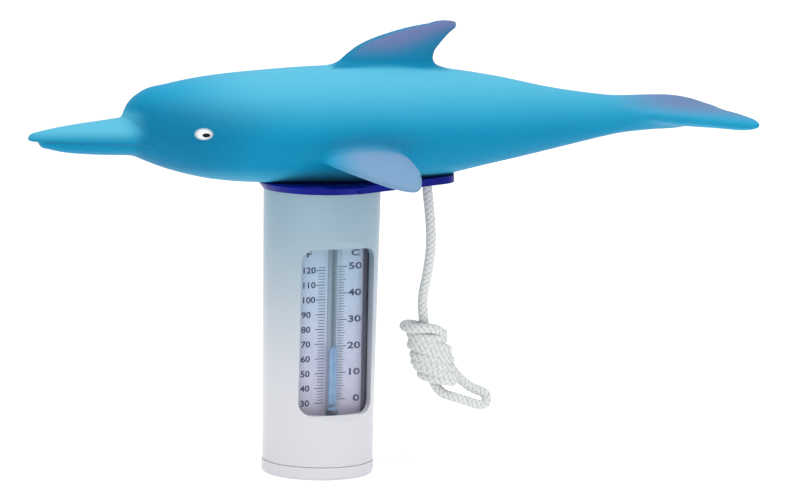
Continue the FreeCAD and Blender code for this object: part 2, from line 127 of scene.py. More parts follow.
def joint_place(name):
    joint = next(j for j in frame["joints"] if j["name"] == name)
    return np.array(joint["pos_m"]) / MM


shell_low, shell_high = box_mm("dolphin_shell")
card_low, card_high = box_mm("scale_card")
column_low, column_high = box_mm("spirit_column")
swing = joint_place("cord_swing")
seat_z = shell_low[2]


# ---------------------------------------------------------------- camera
VIEW_AZIMUTH = math.radians(-17.0)
VIEW_ELEVATION = math.radians(8.0)
VIEW_ROLL = math.radians(1.2)
VIEW_DISTANCE = 1300.0
VIEW_AIM = (26.56, 2.2, 70.24)
LENS = 183.27


def add_camera():
    back = Vector((math.sin(VIEW_AZIMUTH) * math.cos(VIEW_ELEVATION),
                   -math.cos(VIEW_AZIMUTH) * math.cos(VIEW_ELEVATION),
                   math.sin(VIEW_ELEVATION)))
    level = Vector((math.cos(VIEW_AZIMUTH), math.sin(VIEW_AZIMUTH), 0))
    upright = back.cross(level)
    right = level * math.cos(VIEW_ROLL) + upright * math.sin(VIEW_ROLL)
    up = upright * math.cos(VIEW_ROLL) - level * math.sin(VIEW_ROLL)
    camera = bpy.data.objects.new("camera", bpy.data.cameras.new("camera"))
    camera.data.lens = LENS
    camera.data.clip_end = 20
    place = (Vector(VIEW_AIM) + back * VIEW_DISTANCE) * MM
    rotation = Matrix((right, up, back)).transposed().to_4x4()
    camera.matrix_world = Matrix.Translation(place) @ rotation
    bpy.context.scene.collection.objects.link(camera)
    bpy.context.scene.camera = camera


add_camera()


# ---------------------------------------------------------------- materials
NOISE_MIDDLE = (0.3, 0.7)  # most of a noise's values lie between these


class Finish:
    """A procedural material: a Principled shader and the few nodes that feed it."""

    def __init__(self, name, colour, roughness, **values):
        self.material = bpy.data.materials.new(name)
        self.material.use_nodes = True
        self.tree = self.material.node_tree
        self.shader = self.tree.nodes["Principled BSDF"]
        self.colour = colour
        self.set(**{"Base Color": colour, "Roughness": roughness})
        self.set(**{key.replace("_", " "): value for key, value in values.items()})

    def set(self, **values):
        for key, value in values.items():
            self.shader.inputs[key].default_value = value

    def node(self, kind, **values):
        node = self.tree.nodes.new(kind)
        for key, value in values.items():
            if key in node.inputs:
                node.inputs[key].default_value = value
            else:
                setattr(node, key, value)
        return node

    def link(self, output, target):
        self.tree.links.new(output, target)

    def place(self):
        """Position on the piece, in the piece's own frame."""
        return self.node("ShaderNodeTexCoord").outputs["Object"]

    def height(self):
        split = self.node("ShaderNodeSeparateXYZ")
        self.link(self.place(), split.inputs["Vector"])
        return split.outputs["Z"]

    def noise(self, scale, detail=3.0, stretch=(1, 1, 1)):
        mapping = self.node("ShaderNodeMapping", Scale=stretch)
        self.link(self.place(), mapping.inputs["Vector"])
        noise = self.node("ShaderNodeTexNoise", Scale=scale, Detail=detail)
        self.link(mapping.outputs["Vector"], noise.inputs["Vector"])
        return noise.outputs["Fac"]

    def span(self, value, low, high, to_low, to_high):
        """value's stretch from low to high, smoothly mapped to another stretch."""
        node = self.node("ShaderNodeMapRange", interpolation_type="SMOOTHSTEP")
        for key, number in (("From Min", low), ("From Max", high), ("To Min", to_low),
                            ("To Max", to_high)):
            node.inputs[key].default_value = number
        self.link(value, node.inputs["Value"])
        return node.outputs["Result"]

    def uneven(self, scale, to_low, to_high, detail=3.0, stretch=(1, 1, 1)):
        """A value that wanders between two others over the piece."""
        return self.span(self.noise(scale, detail, stretch), *NOISE_MIDDLE, to_low, to_high)

    def attribute(self, name):
        return self.node("ShaderNodeAttribute", attribute_name=name).outputs["Fac"]

    def mix(self, share, first, second):
        """Mixed colour by a share's socket; first and second are colours or sockets."""
        node = self.node("ShaderNodeMix", data_type="RGBA")
        colours = [s for s in node.inputs if s.type == "RGBA"]
        for socket, value in zip(colours, (first, second)):
            if isinstance(value, tuple):
                socket.default_value = value
            else:
                self.link(value, socket)
        self.link(share, node.inputs["Factor"])
        return next(s for s in node.outputs if s.type == "RGBA")

    def paint(self, colour):
        self.link(colour, self.shader.inputs["Base Color"])

    def rough(self, value):
        self.link(value, self.shader.inputs["Roughness"])

    def bump(self, height, distance, strength):
        node = self.node("ShaderNodeBump", Strength=strength, Distance=distance)
        self.link(height, node.inputs["Height"])
        self.link(node.outputs["Normal"], self.shader.inputs["Normal"])

    def mottled(self, scale, low=0.93, high=1.05):
        """The base colour with a slow unevenness."""
        shade = self.uneven(scale, 0.0, 1.0)
        dark = tuple(c * low for c in self.colour[:3]) + (1.0,)
        light = tuple(min(1.0, c * high) for c in self.colour[:3]) + (1.0,)
        return self.mix(shade, dark, light)


def moulded(name, colour, roughness, grain=0.00003, **values):
    """Moulded plastic or rubber with a fine skin texture and slightly uneven gloss."""
    finish = Finish(name, colour, roughness, **values)
    finish.paint(finish.mottled(90.0))
    finish.rough(finish.uneven(260.0, roughness * 0.85, roughness * 1.15))
    finish.bump(finish.noise(1400.0, 2.0), grain, 0.35)
    return finish


def tube_finish():
    """White plastic with a painted shadow and a painted blue reflection of the float, which grow towards the
    collar.
    """
    finish = Finish("tube_plastic", linear(208, 208, 212), 0.3, Specular_IOR_Level=0.4)
    # painted shadow and blue reflection of the float, strongest near the collar
    float_shadow_and_reflection = finish.span(finish.height(), 0.016, 0.092, 0.0, 0.85)
    finish.paint(finish.mix(float_shadow_and_reflection, finish.mottled(20.0, 0.985, 1.01), linear(124, 160, 177)))
    finish.rough(finish.uneven(30.0, 0.30, 0.38))
    finish.bump(finish.noise(1200.0, 2.0), 0.00001, 0.2)
    return finish


# The float's layers of colour, first to last, each where the attribute of its name says: painted shade, painted
# light, and the airbrushed mauve and blush.
FLOAT_BLUE = linear(4, 143, 184)
FLOAT_LAYERS = (
    # painted shade: darker blue on the head's side, the low flanks and the dorsal fin
    ("shade", linear(0, 114, 154)),
    # painted light: paler blue where the back, the belly and the beak's top catch light
    ("painted_light", linear(96, 184, 208)),
    # the mauve and the blush are the toy's own airbrushed paint
    ("mauve", linear(102, 112, 156)),
    ("blush", linear(122, 148, 180)),
)
SPECKLE = linear(120, 170, 205)
# painted shade in the mouth's groove
MOUTH_SHADE = linear(8, 92, 128)


def float_finish():
    """Soft vinyl with airbrushed fins, painted light and shade, a line of painted shade along the mouth and a fine
    skin.
    """
    finish = Finish("float_vinyl", FLOAT_BLUE, 0.5, Specular_IOR_Level=0.07)
    colour = finish.mottled(18.0, 0.96, 1.04)
    for name, layer_colour in FLOAT_LAYERS:
        colour = finish.mix(finish.attribute(name), colour, layer_colour)
    speckle = finish.span(finish.noise(1500.0, 2.0), 0.45, 0.7, 0.0, 0.04)
    colour = finish.mix(speckle, colour, SPECKLE)
    finish.paint(finish.mix(finish.attribute("mouth"), colour, MOUTH_SHADE))
    finish.rough(finish.uneven(40.0, 0.46, 0.54))
    finish.bump(finish.noise(1500.0, 2.0), 0.00003, 0.25)
    return finish


def collar_finish():
    """Deep blue plastic with an uneven gloss."""
    finish = Finish("collar_plastic", linear(5, 18, 122), 0.3, Specular_IOR_Level=0.08)
    finish.paint(finish.mottled(60.0, 0.8, 1.15))
    finish.rough(finish.uneven(200.0, 0.26, 0.4))
    finish.bump(finish.noise(420.0, 2.0), 0.00003, 0.3)
    return finish


def cord_finish():
    """White braid: painted shade darkens the grooves between its strands, with fine filaments."""
    finish = Finish("cord_nylon", linear(224, 225, 222), 0.68, Sheen_Weight=0.15,
                    Sheen_Roughness=0.4)
    strand = finish.span(finish.attribute("strand"), 0.05, 0.8, 0.0, 1.0)
    # the groove colour is painted shade, the strand colour the cord's own white
    finish.paint(finish.mix(strand, linear(164, 170, 170), linear(220, 222, 219)))
    finish.bump(finish.noise(3200.0, 2.0, (1, 1, 0.3)), 0.00006, 0.5)
    return finish


def card_finish():
    """Printed card, bluer at its top and warmer at its bottom."""
    finish = Finish("card_print", linear(190, 203, 224), 0.4)
    up = finish.span(finish.height(), card_low[2] * MM, card_high[2] * MM, 0.0, 1.0)
    pale = finish.mix(up, linear(206, 200, 222), linear(172, 204, 228))
    finish.paint(finish.mix(finish.uneven(220.0, 0.0, 0.2), pale, linear(222, 230, 242)))
    finish.bump(finish.noise(1100.0, 2.0), 0.00002, 0.3)
    return finish


def clear_finish(name, colour, alpha, edge_alpha, roughness):
    """Thin clear plastic or glass, seen by its gloss and by its denser edges."""
    finish = Finish(name, colour, roughness, Specular_IOR_Level=0.5)
    slope = finish.node("ShaderNodeLayerWeight", Blend=0.5).outputs["Facing"]
    finish.link(finish.span(slope, 0.35, 1.0, alpha, edge_alpha), finish.shader.inputs["Alpha"])
    finish.bump(finish.noise(120.0, 1.0), 0.00004, 0.25)
    return finish


def metal_finish(name, colour, roughness, stretch):
    """Bare metal, its grain drawn out by the stretch of its noise."""
    finish = Finish(name, colour, roughness, Metallic=1.0)
    finish.rough(finish.uneven(900.0, roughness * 0.7, roughness * 1.4, stretch=stretch))
    finish.paint(finish.mottled(300.0, 0.88, 1.05))
    return finish


def spirit_finish():
    finish = Finish("spirit_blue", linear(130, 166, 208), 0.2, Specular_IOR_Level=0.4)
    finish.paint(finish.mottled(400.0, 0.92, 1.06))
    return finish


FINISHES = {
    "tube_plastic": tube_finish(),
    "seal_rubber": moulded("seal_rubber", linear(42, 43, 45), 0.6),
    "ballast_steel": metal_finish("ballast_steel", linear(170, 172, 176), 0.35, (1, 1, 8)),
    "pad_foam": moulded("pad_foam", linear(92, 94, 98), 0.9, 0.00025),
    "vial_clear": clear_finish("vial_clear", linear(180, 178, 200), 0.03, 0.6, 0.06),
    "stopper_rubber": moulded("stopper_rubber", linear(210, 210, 204), 0.7),
    "card_print": card_finish(),
    "stem_glass": clear_finish("stem_glass", linear(150, 188, 204), 0.1, 0.5, 0.05),
    "spirit_blue": spirit_finish(),
    "clip_wire": metal_finish("clip_wire", linear(205, 206, 210), 0.25, (1, 1, 1)),
    "collar_plastic": collar_finish(),
    "retainer_plastic": moulded("retainer_plastic", linear(222, 222, 222), 0.45),
    "float_vinyl": float_finish(),
    "cord_nylon": cord_finish(),
}


def give_finish(piece, slot):
    piece.data.materials.clear()
    piece.data.materials.append(FINISHES[slot].material)


def finish_nodes():
    """Every CAD node takes the finish of its slot in the record."""
    for part in frame["record"]["subparts"]:
        give_finish(frame["nodes"][part["node"]], part["material_slot"])


finish_nodes()


# ---------------------------------------------------------------- cord
CORD_R = 1.6
CORD_STEP = 0.22           # distance between rings of the cord's mesh
CORD_SIDES = 32
BRAID_STRANDS = 4          # strands that wind each way
BRAID_PITCH = 1.65         # along the cord, for one crossing
BRAID_RELIEF = 0.16        # depth of the grooves under the cord's radius
BRAID_SWELL = 1.35         # height of a strand's crest over a groove, in reliefs
STRAND_ROUND = 0.6         # power that flattens a strand's crest
STRAND_DIP = 0.28          # share of its height that a strand loses where it goes under

# Steps from the swing axis.  The first point lies in the ear's hole, and from the second one
# these are the route's own points, down to the hank.
ROUTE = [
    (0.0, 0.0, 2.7),
    (0.0, 0.0, 0.0),
    (1.2, -0.5, -9.7),
    (1.6, -0.9, -18.7),
    (0.6, -0.4, -27.7),
    (-0.8, 0.3, -35.4),
    (-0.2, 0.0, -42.2),
]

# Inside the hank: down through its core, out along the end bight, back up and out to the left
# as the top bight, and across its front to where the turns begin.
CORE_DOWN = [
    (0.6, 1.0, -47.0),
    (1.6, 1.8, -52.0),
    (2.6, 1.7, -57.5),
    (3.6, 0.8, -62.8),
    (6.3, -0.5, -66.6),
    (10.6, -1.2, -67.8),
    (15.2, -1.1, -69.3),
    (17.8, -1.0, -70.3),
    (19.8, -0.9, -70.7),
    (21.4, -0.4, -70.1),
    (22.0, 0.1, -68.6),
    (21.3, 0.6, -67.1),
    (19.6, 0.9, -66.3),
    (16.8, 1.0, -65.2),
    (12.6, 0.6, -62.2),
    (8.8, -0.6, -57.6),
    (4.4, -1.3, -51.2),
    (1.4, 0.6, -46.6),
    (-1.8, 2.2, -44.4),
    (-5.0, 2.2, -44.0),
    (-6.9, 0.4, -44.3),
    (-5.0, -2.3, -44.9),
    (-1.2, -3.9, -44.5),
    (2.8, -3.6, -44.8),
]

HANK_TURNS = 7
POINTS_PER_TURN = 14
HANK_START = -46.2         # height of the first turn from the swing axis
HANK_START_ANGLE = -0.5    # radians
HANK_PITCH = 2.25
SIZE_CHANGE = 0.06         # share by which the turns grow and shrink
SIZE_RATE = 2.6            # radians of that for each turn
SIZE_START = 1.0
PAIR_CHANGE = 0.05         # share by which every second turn is smaller, and the others larger
SLANT = -0.15              # rise of a turn for each millimetre to the right
SLANT_CHANGE = 0.1
SLANT_RATE = 1.9
# Centre line of the turns, level by level: height, middle x, half width, half depth.
HANK_LEVELS = [
    (-63.5, 6.2, 5.6, 3.6),
    (-59.0, 4.2, 5.9, 3.9),
    (-54.0, 2.6, 6.0, 3.9),
    (-50.0, 1.7, 5.7, 3.7),
    (-45.0, 0.7, 4.7, 3.2),
]

# The end goes back up inside the last turns.
TUCKED_END = [
    (10.6, 0.8, -62.8),
    (8.8, 3.0, -62.2),
    (5.6, 2.9, -60.6),
    (3.8, 1.0, -58.4),
    (2.9, 0.2, -55.4),
    (2.2, 0.1, -52.4),
]


def hank_turns():
    """The turns wind downwards, each a little larger, smaller or more slanted than the last."""
    points = []
    for step in range(HANK_TURNS * POINTS_PER_TURN):
        turns = step / POINTS_PER_TURN
        angle = 2 * math.pi * turns + HANK_START_ANGLE
        height = HANK_START - HANK_PITCH * turns
        middle, half_width, half_depth = (
            float(through_stations(height, HANK_LEVELS, column)) for column in (1, 2, 3))
        uneven = (1 + SIZE_CHANGE * math.sin(SIZE_RATE * turns + SIZE_START)
                  + PAIR_CHANGE * math.cos(math.pi * turns))
        slant = SLANT + SLANT_CHANGE * math.sin(SLANT_RATE * turns)
        across = half_width * uneven * math.cos(angle)
        depth = half_depth * uneven * math.sin(angle)
        points.append((middle + across, depth, height + slant * across))
    return points


def cord_line():
    """Points of the cord's centre line, evenly spaced, read from its NURBS spline."""
    curve = bpy.data.curves.new("cord_line", "CURVE")
    curve.dimensions = "3D"
    curve.resolution_u = 24
    steps = ROUTE + CORE_DOWN + hank_turns() + TUCKED_END
    spline = curve.splines.new("NURBS")
    spline.points.add(len(steps) - 1)
    for point, step in zip(spline.points, steps):
        point.co = (*((swing + np.array(step)) * MM), 1.0)
    spline.order_u = 3
    spline.use_endpoint_u = True
    holder = bpy.data.objects.new("cord_line", curve)
    bpy.context.scene.collection.objects.link(holder)
    line = bpy.data.meshes.new_from_object(holder)
    points = np.array([v.co for v in line.vertices], float)
    bpy.data.objects.remove(holder)
    bpy.data.meshes.remove(line)
    runs = np.linalg.norm(np.diff(points, axis=0), axis=1)
    points = points[np.concatenate([[True], runs > 1e-9])]
    along = np.concatenate([[0], np.cumsum(np.linalg.norm(np.diff(points, axis=0), axis=1))])
    count = int(round(along[-1] / (CORD_STEP * MM))) + 1
    even = np.linspace(0, along[-1], count)
    return np.stack([np.interp(even, along, points[:, axis]) for axis in range(3)], axis=1)


def carried_frames(points):
    """Two directions across the line at each point, carried along it without twist."""
    ahead = np.gradient(points, axis=0)
    ahead /= np.linalg.norm(ahead, axis=1)[:, None]
    first = np.zeros_like(points)
    start = np.cross(ahead[0], (0.0, 1.0, 0.0))
    first[0] = start / np.linalg.norm(start)
    for i in range(1, len(points)):
        carried = first[i - 1] - ahead[i] * np.dot(first[i - 1], ahead[i])
        first[i] = carried / np.linalg.norm(carried)
    return first, np.cross(ahead, first)


def braid_height(turn, along):
    """Height of the braid's surface from 0 in a groove to 1 on a strand, at a turn about the
    cord and a distance along it."""
    around = turn * BRAID_STRANDS
    rise = along / BRAID_PITCH
    one_way = around + rise
    other_way = around - rise
    over = (np.floor(one_way) + np.floor(other_way)) % 2 == 0
    across = np.where(over, one_way, other_way)
    length = np.where(over, other_way, one_way)
    dip = STRAND_DIP * (1 - np.sin(np.pi * (length % 1)))
    return np.sin(np.pi * (across % 1)) ** STRAND_ROUND * (1 - dip)


def make_cord():
    line = cord_line()
    first, second = carried_frames(line)
    turn = np.arange(CORD_SIDES) / CORD_SIDES
    along = np.arange(len(line)) * CORD_STEP
    height = braid_height(turn[None, :], along[:, None])
    radius = (CORD_R - BRAID_RELIEF + BRAID_SWELL * BRAID_RELIEF * height) * MM
    cos = np.cos(2 * math.pi * turn)[None, :, None]
    sin = np.sin(2 * math.pi * turn)[None, :, None]
    outward = cos * first[:, None, :] + sin * second[:, None, :]
    rings = line[:, None, :] + radius[..., None] * outward
    points = list(rings.reshape(-1, 3)) + [line[0], line[-1]]
    faces = ring_faces(len(line), CORD_SIDES)
    last = (len(line) - 1) * CORD_SIDES
    for side in range(CORD_SIDES):
        after = (side + 1) % CORD_SIDES
        faces.append((len(points) - 2, side, after))
        faces.append((len(points) - 1, last + after, last + side))
    cord = mesh_object("braided_cord", points, faces)
    point_attribute(cord, "strand", list(height.reshape(-1)) + [0.5, 0.5])
    give_finish(cord, "cord_nylon")
    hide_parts("tether_cord", "cord_hank")
    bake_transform(cord)


make_cord()


# ---------------------------------------------------------------- float
VOXEL = 0.6
FIELD_REACH = 8.0          # distances are kept up to this
FIELD_MARGIN = 3.0         # room round the CAD shell

BODY_FRONT = shell_low[0] + 29.5
BODY_LENGTH = 177.5
BODY_BOTTOM = seat_z - 1.05
BODY_HEIGHT = 37.4
BODY_TOP = BODY_BOTTOM + BODY_HEIGHT
BODY_HALF_WIDTH = 21.0
MOUTH_Z = BODY_BOTTOM + 14.6
MOUTH_SLOPE = -0.02
MOUTH_LINE = 0.3           # half width of its painted shade

# Way along the body, underside and top as shares of its height, half width as a share.
BODY = [
    (0.000, 0.340, 0.551, 0.10),
    (0.0113, 0.290, 0.678, 0.33),
    (0.0366, 0.225, 0.789, 0.57),
    (0.087, 0.137, 0.858, 0.785),
    (0.155, 0.060, 0.917, 0.925),
    (0.256, 0.016, 0.965, 0.99),
    (0.369, 0.000, 0.997, 1.00),
    (0.482, 0.005, 1.000, 0.97),
    (0.583, 0.055, 0.973, 0.87),
    (0.679, 0.147, 0.909, 0.715),
    (0.790, 0.257, 0.802, 0.505),
    (0.904, 0.374, 0.727, 0.335),
    (1.000, 0.449, 0.706, 0.285),
]
NOSE_REACH = 0.4           # how far the first section's round end runs ahead of it
TAIL_FADE = 13.0           # how far the tail stock runs on between the flukes

# Distance from the beak's tip, underside and top from the mouth line, half width.
BEAK = [
    (2.6, -2.7, 2.6, 4.0),
    (7.0, -3.7, 3.6, 5.7),
    (14.5, -4.5, 4.9, 7.4),
    (24.4, -4.9, 6.2, 9.4),
    (34.4, -4.9, 7.4, 11.6),
    (44.0, -3.6, 7.6, 12.6),
]
LOWER_JAW_SHORTER = 3.2
LOWER_JAW_SLIMMER = 0.55
LOWER_JAW_LIFT = 0.3       # share of that by which its underside is higher
MOUTH_OVERLAP = 0.1        # the lower jaw's top above the mouth line
JAW_FADE = 8.0             # how far the jaws run on inside the head
BEAK_CREASE = 0.5          # blend of beak and head above the mouth
CHIN_BLEND = 0.6           # what it gains below the mouth
CHIN_DROP = 4.0            # over this drop

# Height above the body's top, leading and trailing edge from the fin's front, half thickness.
DORSAL = [
    (-4.0, -6.4, 39.2, 4.5),
    (0.4, 0.0, 32.8, 4.0),
    (4.1, 4.2, 32.6, 3.4),
    (7.1, 8.8, 34.8, 2.8),
    (10.1, 16.8, 37.6, 2.1),
    (12.0, 24.0, 39.8, 1.6),
    (13.4, 31.4, 39.8, 0.9),
]
DORSAL_FRONT = 3.6
DORSAL_CAP = 0.7           # height of its round edge above the last row

# Out from the middle plane, step back, drop, chord, thickness.  A fin's tip says where its round
# end starts, and how far it reaches from there.
PECTORAL = [
    (13.0, -1.0, -1.0, 31.0, 8.0),
    (18.0, 0.8, 0.6, 28.6, 7.0),
    (24.1, 3.0, 2.2, 26.1, 6.2),
    (32.2, 7.0, 5.0, 19.2, 5.0),
    (38.0, 9.4, 7.1, 12.2, 3.8),
    (43.0, 11.6, 8.8, 7.6, 3.0),
]
PECTORAL_TIP = (36.4, 6.6)
PECTORAL_X = 6.0
PECTORAL_Z = seat_z + 10.15

FLUKE = [
    (0.0, 4.6, 0.2, 35.2, 7.6),
    (6.0, 5.3, 0.2, 32.2, 7.2),
    (12.1, 7.8, 0.3, 26.8, 6.6),
    (24.1, 14.6, 0.6, 15.6, 5.2),
    (30.0, 17.6, 0.9, 11.0, 4.4),
    (35.8, 20.5, 1.2, 7.4, 3.6),
]
FLUKE_TIP = (29.0, 6.8)
FLUKE_X = BODY_FRONT + BODY_LENGTH
FLUKE_LEVEL = 0.5775       # share of the body's height
FLUKE_Z = BODY_BOTTOM + FLUKE_LEVEL * BODY_HEIGHT
FIN_BLEND = 2.2
FLUKE_BLEND = 5.0


def smooth_union(first, second, reach):
    share = np.clip(0.5 + 0.5 * (second - first) / reach, 0, 1)
    return second + (first - second) * share - reach * share * (1 - share)


def distance_of(level):
    """Turns a level function into a distance, near enough, by its slope."""
    slopes = np.gradient(level, VOXEL)
    steepness = np.sqrt(slopes[0] ** 2 + slopes[1] ** 2 + slopes[2] ** 2)
    return np.clip(level / np.maximum(steepness, 1e-4), -FIELD_REACH, FIELD_REACH)


def oval_level(u, v, half_u, half_v, cap):
    return np.sqrt((u / half_u) ** 2 + (v / half_v) ** 2 + cap ** 2) - 1


def body_field(x, y, z):
    stations = []
    for along, low, high, wide in BODY:
        # The squares of the half sizes run straight towards a round end.
        stations.append((BODY_FRONT + along * BODY_LENGTH, (low + high) / 2,
                         ((high - low) / 2) ** 2, wide ** 2))
    middle = BODY_BOTTOM + through_stations(x, stations, 1) * BODY_HEIGHT
    half_height = np.sqrt(through_stations(x, stations, 2)) * BODY_HEIGHT
    half_width = np.sqrt(through_stations(x, stations, 3)) * BODY_HALF_WIDTH
    nose = np.maximum(0, stations[0][0] - x) / NOSE_REACH
    tail = np.maximum(0, x - stations[-1][0]) / TAIL_FADE
    return distance_of(oval_level(y, z - middle, half_width, half_height, nose + tail))


def jaw_field(x, y, z, shorter, slimmer):
    stations = [(shell_low[0] + row[0], *row[1:]) for row in BEAK]
    place = x - shorter
    low = through_stations(place, stations, 1) + slimmer * LOWER_JAW_LIFT
    high = through_stations(place, stations, 2)
    half_width = through_stations(place, stations, 3) - slimmer
    tip = np.maximum(0, stations[0][0] - place) / (stations[0][0] - shell_low[0])
    rear = np.maximum(0, place - stations[-1][0]) / JAW_FADE
    level = oval_level(y, z - MOUTH_Z - (low + high) / 2, half_width, (high - low) / 2, tip + rear)
    return distance_of(level)


def height_over_mouth(x, z):
    return z - MOUTH_Z - MOUTH_SLOPE * (x - shell_low[0])


def beak_field(x, y, z):
    """Two jaws that part at the mouth line, the lower one shorter and slimmer."""
    above = height_over_mouth(x, z)
    upper = np.maximum(jaw_field(x, y, z, 0.0, 0.0), -above)
    lower = np.maximum(jaw_field(x, y, z, LOWER_JAW_SHORTER, LOWER_JAW_SLIMMER),
                       above - MOUTH_OVERLAP)
    return np.minimum(upper, lower)


def dorsal_field(x, y, z):
    up = z - BODY_TOP
    lead = DORSAL_FRONT + through_stations(up, DORSAL, 1)
    trail = DORSAL_FRONT + through_stations(up, DORSAL, 2)
    thick = through_stations(up, DORSAL, 3)
    cap = np.maximum(0, up - DORSAL[-1][0]) / DORSAL_CAP
    level = oval_level(x - (lead + trail) / 2, y, (trail - lead) / 2, thick, cap)
    return distance_of(level)


def fin_field(x, y, z, stations, root_x, root_z, tip):
    """Both fins of a pair, as y is taken without its sign."""
    out = np.abs(y)
    back = through_stations(out, stations, 1)
    drop = through_stations(out, stations, 2)
    chord = through_stations(out, stations, 3)
    thickness = through_stations(out, stations, 4)
    cap = np.maximum(0, out - tip[0]) / tip[1]
    level = oval_level(x - root_x - back, z - root_z + drop, chord / 2, thickness / 2, cap)
    return distance_of(level)


def field_grid():
    """Low corner of a grid round the shell, and the three coordinates of its points."""
    low = shell_low - FIELD_MARGIN
    high = shell_high + FIELD_MARGIN
    counts = np.ceil((high - low) / VOXEL).astype(int)
    axes = [np.float32(low[i] + VOXEL * np.arange(counts[i])) for i in range(3)]
    return low, np.meshgrid(*axes, indexing="ij")


def dolphin_surface():
    """Points in millimetres and faces of the float's outer skin, cut flat at the collar's seat."""
    low, (x, y, z) = field_grid()
    jaw_blend = BEAK_CREASE + CHIN_BLEND * smoothstep(MOUTH_Z, MOUTH_Z - CHIN_DROP, z)
    field = smooth_union(body_field(x, y, z), beak_field(x, y, z), jaw_blend)
    field = smooth_union(field, dorsal_field(x, y, z), FIN_BLEND)
    pectoral = fin_field(x, y, z, PECTORAL, PECTORAL_X, PECTORAL_Z, PECTORAL_TIP)
    field = smooth_union(field, pectoral, FIN_BLEND)
    fluke = fin_field(x, y, z, FLUKE, FLUKE_X, FLUKE_Z, FLUKE_TIP)
    field = smooth_union(field, fluke, FLUKE_BLEND)
    field = np.maximum(field, seat_z - z)
    grid = openvdb.FloatGrid(FIELD_REACH)
    grid.copyFromArray(np.ascontiguousarray(field, np.float32))
    points, _, quads = grid.convertToPolygons(0.0, 0.0)
    return low + points.astype(float) * VOXEL, quads


# How strongly each zone of paint, painted light and painted shade is laid on, as shares of its full colour.
DORSAL_MAUVE = 0.9
FLUKE_MAUVE = 0.85
PECTORAL_BLUSH = 0.85
BACK_PAINTED_LIGHT = 0.68
BELLY_PAINTED_LIGHT = 0.35
BEAK_PAINTED_LIGHT = 0.72
FLANK_SHADE = 0.5
DORSAL_SHADE = 0.75
MOUTH_STRENGTH = 0.55


def dorsal_paint(x, up, out):
    """Mauve towards the dorsal fin's leading edge, and the darker blue of painted shade on the fin and its foot.
    """
    rows = np.array(DORSAL)
    behind_lead = x - DORSAL_FRONT - np.interp(up, rows[:, 0], rows[:, 1])
    ahead_of_trail = DORSAL_FRONT - x + np.interp(up, rows[:, 0], rows[:, 2])
    mauve = (smoothstep(1.0, 8.5, up) * smoothstep(-0.5, 3.0, behind_lead)
             * (1 - 0.8 * smoothstep(9.0, 24.0, behind_lead)))
    foot = (smoothstep(-2.6, -0.2, up) * smoothstep(-2.4, 0.2, behind_lead)
            * smoothstep(-2.4, 0.2, ahead_of_trail) * smoothstep(7.0, 3.8, out))
    return mauve, foot


def shade_paint(x, level, out, foot):
    """Painted shade: darker blue on the head, the flanks and the dorsal fin, but not far out on the other fins."""
    head = (smoothstep(BODY_FRONT - 1, BODY_FRONT + 5, x)
            * smoothstep(BODY_FRONT + 62, BODY_FRONT + 16, x) * smoothstep(0.88, 0.6, level))
    flank = FLANK_SHADE * smoothstep(0.66, 0.36, level) * smoothstep(0.0, 0.12, level)
    darkest = np.maximum(np.maximum(head, flank), DORSAL_SHADE * foot)
    return darkest * smoothstep(24.0, 20.0, out)


def crown_paint(x, z, level, foot):
    """Painted light: paler blue on the back, a little on the belly, and on the beak's top."""
    back = (BACK_PAINTED_LIGHT * smoothstep(0.42, 0.96, level)
            * smoothstep(BODY_FRONT + 4, BODY_FRONT + 45, x) * (1 - foot))
    belly = BELLY_PAINTED_LIGHT * smoothstep(0.2, 0.04, level)
    beak = (BEAK_PAINTED_LIGHT * smoothstep(BODY_FRONT + 7, BODY_FRONT - 2, x)
            * smoothstep(MOUTH_Z - 0.5, MOUTH_Z + 4, z)
            * smoothstep(MOUTH_Z + 10.5, MOUTH_Z + 8.0, z))
    return np.maximum(np.maximum(back, belly), beak)


def blush_paint(x, level, out):
    """Pale mauve on the pectoral fins."""
    return (PECTORAL_BLUSH * smoothstep(18.5, 25.0, out)
            * smoothstep(PECTORAL_X - 13, PECTORAL_X + 1, x)
            * smoothstep(PECTORAL_X + 34, PECTORAL_X + 28, x) * smoothstep(0.5, 0.3, level))


def mouth_paint(x, z):
    """Painted shade in a fine line along the mouth's groove, from near the beak's tip to the cheek."""
    line = np.exp(-(height_over_mouth(x, z) / MOUTH_LINE) ** 2)
    return (MOUTH_STRENGTH * line * smoothstep(BODY_FRONT + 8.5, BODY_FRONT + 3.5, x)
            * smoothstep(shell_low[0] + 1.5, shell_low[0] + 5, x))


def paint_masks(points):
    """Share of each airbrushed coat, of the painted light and of the painted shade at the skin's points."""
    x, y, z = points.T
    up = z - BODY_TOP
    level = (z - BODY_BOTTOM) / BODY_HEIGHT
    out = np.abs(y)
    dorsal, foot = dorsal_paint(x, up, out)
    fluke = smoothstep(FLUKE_X - 22, FLUKE_X + 6, x) * smoothstep(FLUKE_Z - 0.5, FLUKE_Z + 3.8, z)
    return {
        "mauve": np.clip(DORSAL_MAUVE * dorsal + FLUKE_MAUVE * fluke, 0, 1),
        "blush": blush_paint(x, level, out),
        "painted_light": crown_paint(x, z, level, foot),
        "shade": shade_paint(x, level, out, foot),
        "mouth": mouth_paint(x, z),
    }


def make_dolphin():
    points, quads = dolphin_surface()
    dolphin = mesh_object("dolphin_skin", points * MM, quads)
    for name, values in paint_masks(points).items():
        point_attribute(dolphin, name, values)
    give_finish(dolphin, "float_vinyl")
    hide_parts("dolphin_shell")
    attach(dolphin, "head")
    return dolphin


dolphin = make_dolphin()


# ---------------------------------------------------------------- eyes
EYE_X = BODY_FRONT + 22.0
EYE_Z = 110.7
EYE_RINGS = 7
EYE_SIDES = 40
RAY_START = BODY_HALF_WIDTH + 20


